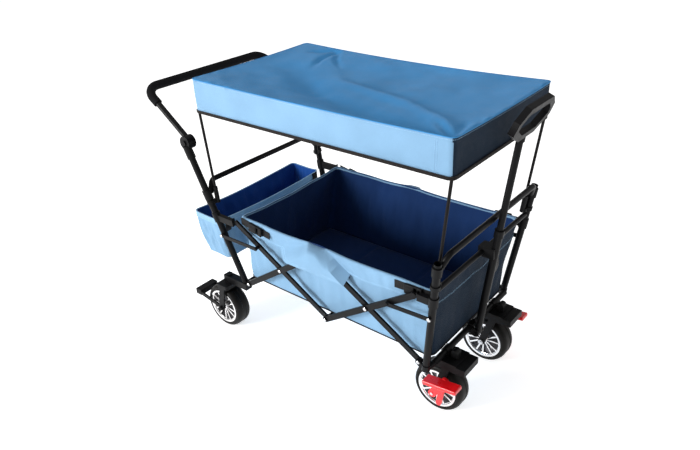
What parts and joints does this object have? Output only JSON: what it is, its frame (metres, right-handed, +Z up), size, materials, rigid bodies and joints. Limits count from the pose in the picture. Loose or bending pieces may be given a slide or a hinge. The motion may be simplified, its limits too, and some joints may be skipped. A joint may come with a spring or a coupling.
{
  "type": "folding beach cart",
  "caption": "Folding four-wheel beach cart with a scissor frame, fabric tub, rear basket, sun canopy, push bar and telescopic pull handle.",
  "frame": {"origin": "on the floor, at the middle of the overall length and width", "axes": "+X towards the pull handle (front), +Z up; the cart is symmetric about the XZ plane"},
  "size_m": [1.2986, 0.6236, 0.9872],
  "materials": {
    "frame_black": "satin powder coat",
    "pole_black": "satin",
    "black_plastic": "fine grain",
    "tub_cloth": "coated polyester weave",
    "canopy_cloth": "coated polyester weave",
    "mat_cloth": "padded polyester weave",
    "foam_grip": "closed-cell foam",
    "tyre_rubber": "smooth moulded",
    "wheel_silver": "silver painted",
    "pedal_red": "gloss",
    "axle_steel": "zinc plated"
  },
  "bodies": {
    "rear_frame": {"rear_posts": "frame_black", "rear_arch": "frame_black", "rear_arch_fittings": "black_plastic", "rear_cross_tube": "frame_black", "caster_arms": "frame_black", "rear_hook_brackets": "black_plastic", "rear_pole_sockets": "black_plastic", "rear_canopy_poles": "pole_black", "canopy_rear_rim": "pole_black", "handle_hinge_plates": "black_plastic", "rear_basket": "tub_cloth", "tub_fabric": "tub_cloth", "tub_mat": "mat_cloth", "canopy_fabric": "canopy_cloth"},
    "front_frame": {"front_posts": "frame_black", "front_arch": "frame_black", "front_arch_fittings": "black_plastic", "front_mid_tube": "frame_black", "front_cross_tube": "frame_black", "front_forks": "black_plastic", "front_axles": "axle_steel", "front_hook_brackets": "black_plastic", "front_pole_sockets": "black_plastic", "front_canopy_poles": "pole_black", "canopy_front_rim": "pole_black", "handle_clip": "black_plastic"},
    "mid_bar": {"mid_cross_bar": "frame_black"},
    "push_handle": {"push_handle_tube": "frame_black", "push_handle_foam": "foam_grip"},
    "handle_button_near": {"handle_button_near": "black_plastic"},
    "handle_button_far": {"handle_button_far": "black_plastic"},
    "pull_stem": {"pull_outer_tube": "frame_black"},
    "pull_extension": {"pull_inner_tube": "frame_black", "pull_grip": "black_plastic"},
    "link_a_near": {"link_a_near": "frame_black"},
    "link_b_near": {"link_b_near": "frame_black"},
    "link_c_near": {"link_c_near": "frame_black"},
    "link_d_near": {"link_d_near": "frame_black"},
    "rear_stay_near": {"rear_stay_near": "frame_black"},
    "front_stay_near": {"front_stay_near": "frame_black"},
    "caster_near": {"caster_fork_near": "black_plastic"},
    "rear_wheel_near": {"rear_tyre_near": "tyre_rubber", "rear_rim_near": "wheel_silver"},
    "front_wheel_near": {"front_tyre_near": "tyre_rubber", "front_rim_near": "wheel_silver"},
    "brake_pedal_near": {"brake_pedal_near": "pedal_red"},
    "link_a_far": {"link_a_far": "frame_black"},
    "link_b_far": {"link_b_far": "frame_black"},
    "link_c_far": {"link_c_far": "frame_black"},
    "link_d_far": {"link_d_far": "frame_black"},
    "rear_stay_far": {"rear_stay_far": "frame_black"},
    "front_stay_far": {"front_stay_far": "frame_black"},
    "caster_far": {"caster_fork_far": "black_plastic"},
    "rear_wheel_far": {"rear_tyre_far": "tyre_rubber", "rear_rim_far": "wheel_silver"},
    "front_wheel_far": {"front_tyre_far": "tyre_rubber", "front_rim_far": "wheel_silver"},
    "brake_pedal_far": {"brake_pedal_far": "pedal_red"}
  },
  "joints": [
    {"name": "fold", "type": "hinge", "parent": "rear_frame", "child": "link_b_near", "pos_m": [-0.26334, -0.243, 0.228], "axis": [0, -0.9942, -0.108], "range_deg": [0, 35], "deforming": ["tub_fabric", "tub_mat", "canopy_fabric"]},
    {"name": "fold_link_a_near", "type": "hinge", "parent": "link_b_near", "child": "link_a_near", "pos_m": [-0.08484, -0.25672, 0.35426], "axis": [0, -0.9942, -0.108], "range_deg": [-70.01, 0]},
    {"name": "fold_link_d_near", "type": "hinge", "parent": "link_b_near", "child": "link_d_near", "pos_m": [0.09366, -0.27043, 0.48051], "axis": [0, -0.9942, -0.108], "range_deg": [-70.01, 0]},
    {"name": "fold_link_c_near", "type": "hinge", "parent": "link_d_near", "child": "link_c_near", "pos_m": [0.27216, -0.25672, 0.35426], "axis": [0, -0.9942, -0.108], "range_deg": [0, 70.01]},
    {"name": "fold_mid_bar", "type": "hinge", "parent": "link_a_near", "child": "mid_bar", "pos_m": [0.09366, -0.243, 0.228], "axis": [0, -0.9942, -0.108], "range_deg": [0, 35.01]},
    {"name": "fold_front_frame", "type": "hinge", "parent": "link_d_near", "child": "front_frame", "pos_m": [0.45066, -0.243, 0.228], "axis": [0, -0.9942, -0.108], "range_deg": [0, 35.01]},
    {"name": "fold_link_b_far", "type": "hinge", "parent": "rear_frame", "child": "link_b_far", "pos_m": [-0.26334, 0.243, 0.228], "axis": [0, -0.9942, 0.108], "range_deg": [0, 35.01]},
    {"name": "fold_link_a_far", "type": "hinge", "parent": "link_b_far", "child": "link_a_far", "pos_m": [-0.08484, 0.25672, 0.35426], "axis": [0, -0.9942, 0.108], "range_deg": [-70.01, 0]},
    {"name": "fold_link_d_far", "type": "hinge", "parent": "link_b_far", "child": "link_d_far", "pos_m": [0.09366, 0.27043, 0.48051], "axis": [0, -0.9942, 0.108], "range_deg": [-70.01, 0]},
    {"name": "fold_link_c_far", "type": "hinge", "parent": "link_d_far", "child": "link_c_far", "pos_m": [0.27216, 0.25672, 0.35426], "axis": [0, -0.9942, 0.108], "range_deg": [0, 70.01]},
    {"name": "fold_rear_stay_near", "type": "hinge", "parent": "rear_frame", "child": "rear_stay_near", "pos_m": [-0.33961, -0.27695, 0.41322], "axis": [0, -0.9942, -0.108], "range_deg": [0, 46.19]},
    {"name": "fold_front_stay_near", "type": "hinge", "parent": "front_frame", "child": "front_stay_near", "pos_m": [0.50398, -0.27805, 0.42334], "axis": [0, -0.9942, -0.108], "range_deg": [-54.08, 0]},
    {"name": "fold_rear_stay_far", "type": "hinge", "parent": "rear_frame", "child": "rear_stay_far", "pos_m": [-0.33961, 0.27695, 0.41322], "axis": [0, -0.9942, 0.108], "range_deg": [0, 46.19]},
    {"name": "fold_front_stay_far", "type": "hinge", "parent": "front_frame", "child": "front_stay_far", "pos_m": [0.50398, 0.27805, 0.42334], "axis": [0, -0.9942, 0.108], "range_deg": [-54.08, 0]},
    {"name": "push_handle_tilt", "type": "hinge", "parent": "rear_frame", "child": "push_handle", "pos_m": [-0.42834, 0, 0.742], "axis": [0, 1, 0], "range_deg": [-105, 50]},
    {"name": "press_handle_button_near", "type": "slide", "parent": "rear_frame", "child": "handle_button_near", "axis": [0, 1, 0], "range_m": [0, 0.0025], "stiffness_N_per_m": 900},
    {"name": "press_handle_button_far", "type": "slide", "parent": "rear_frame", "child": "handle_button_far", "axis": [0, -1, 0], "range_m": [0, 0.0025], "stiffness_N_per_m": 900},
    {"name": "pull_handle_swing", "type": "hinge", "parent": "front_frame", "child": "pull_stem", "pos_m": [0.51066, 0, 0.214], "axis": [0, 1, 0], "range_deg": [0, 88]},
    {"name": "pull_handle_extend", "type": "slide", "parent": "pull_stem", "child": "pull_extension", "axis": [0.1271, 0, 0.9919], "range_m": [-0.22, 0]},
    {"name": "caster_swivel_near", "type": "hinge", "parent": "rear_frame", "child": "caster_near", "pos_m": [-0.37534, -0.241, 0.1955], "axis": [0, 0, 1], "continuous": true},
    {"name": "rear_wheel_spin_near", "type": "hinge", "parent": "caster_near", "child": "rear_wheel_near", "pos_m": [-0.40234, -0.241, 0.085], "axis": [0, 1, 0], "continuous": true},
    {"name": "caster_swivel_far", "type": "hinge", "parent": "rear_frame", "child": "caster_far", "pos_m": [-0.37534, 0.241, 0.1955], "axis": [0, 0, 1], "continuous": true},
    {"name": "rear_wheel_spin_far", "type": "hinge", "parent": "caster_far", "child": "rear_wheel_far", "pos_m": [-0.40234, 0.241, 0.085], "axis": [0, 1, 0], "continuous": true},
    {"name": "front_wheel_spin_near", "type": "hinge", "parent": "front_frame", "child": "front_wheel_near", "pos_m": [0.47366, -0.146, 0.085], "axis": [0, 1, 0], "continuous": true},
    {"name": "brake_pedal_press_near", "type": "hinge", "parent": "front_frame", "child": "brake_pedal_near", "pos_m": [0.47366, -0.1955, 0.085], "axis": [0, 1, 0], "range_deg": [0, 12]},
    {"name": "front_wheel_spin_far", "type": "hinge", "parent": "front_frame", "child": "front_wheel_far", "pos_m": [0.47366, 0.146, 0.085], "axis": [0, 1, 0], "continuous": true},
    {"name": "brake_pedal_press_far", "type": "hinge", "parent": "front_frame", "child": "brake_pedal_far", "pos_m": [0.47366, 0.1955, 0.085], "axis": [0, 1, 0], "range_deg": [0, 12]}
  ],
  "couplings": [
    {"joint": "fold_link_a_near", "follows": "fold", "ratio": -2},
    {"joint": "fold_link_d_near", "follows": "fold", "ratio": -2},
    {"joint": "fold_link_c_near", "follows": "fold", "ratio": 2},
    {"joint": "fold_mid_bar", "follows": "fold", "ratio": 1},
    {"joint": "fold_front_frame", "follows": "fold", "ratio": 1},
    {"joint": "fold_link_b_far", "follows": "fold", "ratio": 1},
    {"joint": "fold_link_a_far", "follows": "fold", "ratio": -2},
    {"joint": "fold_link_d_far", "follows": "fold", "ratio": -2},
    {"joint": "fold_link_c_far", "follows": "fold", "ratio": 2},
    {"joint": "fold_rear_stay_near", "follows": "fold", "ratio": 1.3195},
    {"joint": "fold_front_stay_near", "follows": "fold", "ratio": -1.5448},
    {"joint": "fold_rear_stay_far", "follows": "fold", "ratio": 1.3195},
    {"joint": "fold_front_stay_far", "follows": "fold", "ratio": -1.5448}
  ]
}
